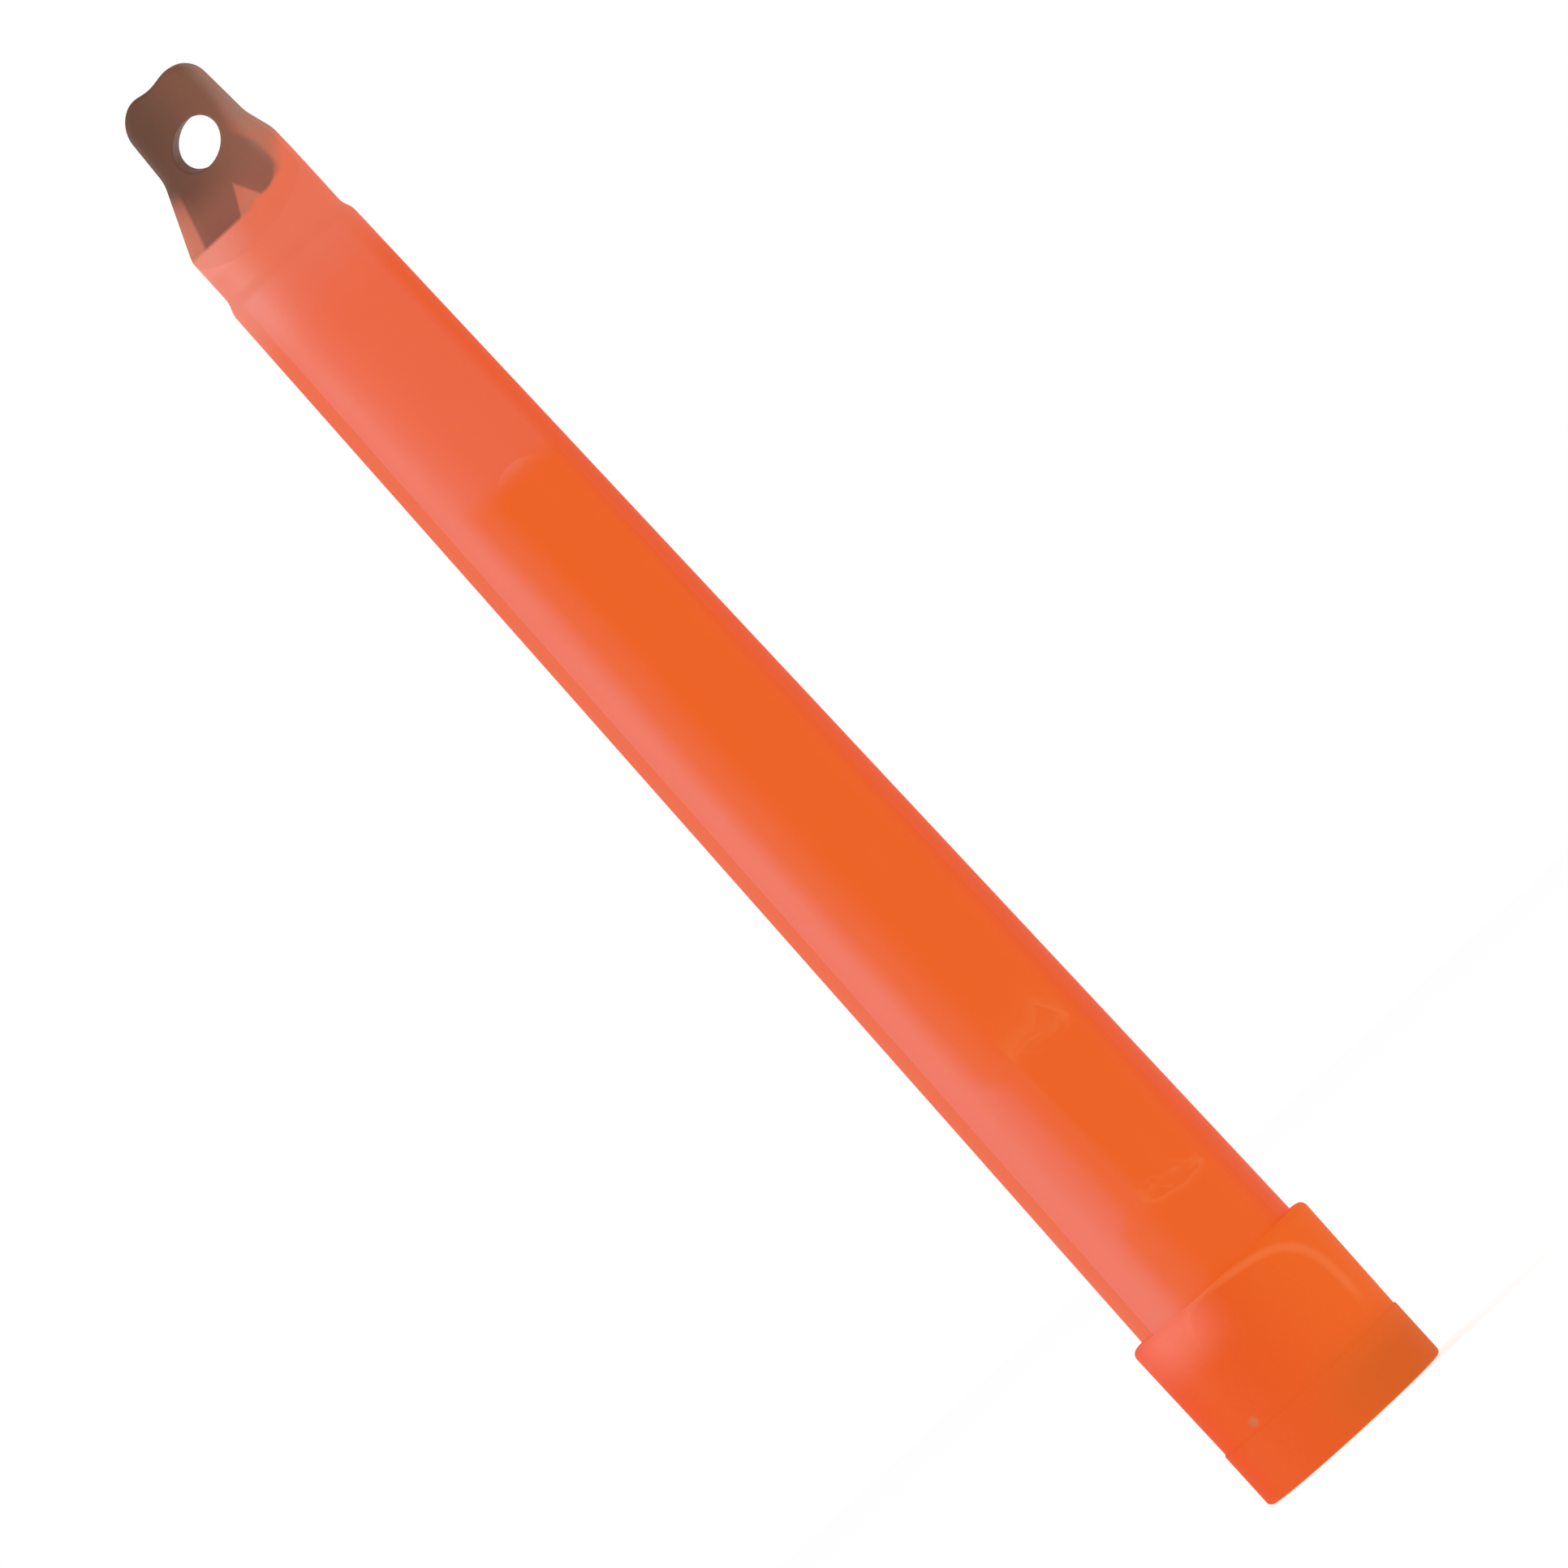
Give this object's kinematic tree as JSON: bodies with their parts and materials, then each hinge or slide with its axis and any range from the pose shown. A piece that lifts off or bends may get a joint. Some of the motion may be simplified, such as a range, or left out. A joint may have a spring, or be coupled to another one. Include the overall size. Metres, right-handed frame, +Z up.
{
  "type": "chemical light stick",
  "caption": "Lit chemical light stick: tapered plastic tube with flat hang tab, wide end cap, snapped glass ampoule and glowing orange liquid inside.",
  "frame": {"origin": "centre of the cap's flat end, on which the stick stands", "axes": "+Z up the tube to the tip of the hang tab; the hang hole runs along Y; the tab lies in the XZ plane, a little to the +X side"},
  "size_m": [0.0192, 0.0192, 0.15],
  "materials": {
    "tube_plastic": "translucent polyethylene, satin",
    "cap_plastic": "translucent polyethylene, satin",
    "ampoule_glass": "clear, broken edges",
    "glowing_liquid": "glowing orange liquid"
  },
  "bodies": {
    "case": {"outer_tube": "tube_plastic", "end_cap": "cap_plastic", "glowing_liquid": "glowing_liquid"},
    "ampoule_top": {"ampoule_top": "ampoule_glass"},
    "ampoule_bottom": {"ampoule_bottom": "ampoule_glass"},
    "splinter_1": {"splinter_1": "ampoule_glass"},
    "splinter_2": {"splinter_2": "ampoule_glass"},
    "splinter_3": {"splinter_3": "ampoule_glass"},
    "splinter_4": {"splinter_4": "ampoule_glass"},
    "splinter_5": {"splinter_5": "ampoule_glass"}
  },
  "joints": [
    {"name": "ampoule_top_slide", "type": "slide", "parent": "case", "child": "ampoule_top", "axis": [-0.008, -0.0114, 0.9999], "range_m": [0, 0.0274], "deforming": ["glowing_liquid"]},
    {"name": "ampoule_bottom_slide", "type": "slide", "parent": "case", "child": "ampoule_bottom", "axis": [-0.008, -0.0114, 0.9999], "range_m": [0, 0.0274]},
    {"name": "splinter_1_slide", "type": "slide", "parent": "case", "child": "splinter_1", "axis": [-0.008, -0.0114, 0.9999], "range_m": [0, 0.0274]},
    {"name": "splinter_2_slide", "type": "slide", "parent": "case", "child": "splinter_2", "axis": [-0.008, -0.0114, 0.9999], "range_m": [0, 0.0274]},
    {"name": "splinter_3_slide", "type": "slide", "parent": "case", "child": "splinter_3", "axis": [-0.008, -0.0114, 0.9999], "range_m": [0, 0.0274]},
    {"name": "splinter_4_slide", "type": "slide", "parent": "case", "child": "splinter_4", "axis": [-0.008, -0.0114, 0.9999], "range_m": [0, 0.0274]},
    {"name": "splinter_5_slide", "type": "slide", "parent": "case", "child": "splinter_5", "axis": [-0.008, -0.0114, 0.9999], "range_m": [0, 0.0274]}
  ],
  "couplings": [
    {"joint": "ampoule_bottom_slide", "follows": "ampoule_top_slide", "ratio": 1},
    {"joint": "splinter_1_slide", "follows": "ampoule_top_slide", "ratio": 1},
    {"joint": "splinter_2_slide", "follows": "ampoule_top_slide", "ratio": 1},
    {"joint": "splinter_3_slide", "follows": "ampoule_top_slide", "ratio": 1},
    {"joint": "splinter_4_slide", "follows": "ampoule_top_slide", "ratio": 1},
    {"joint": "splinter_5_slide", "follows": "ampoule_top_slide", "ratio": 1}
  ]
}
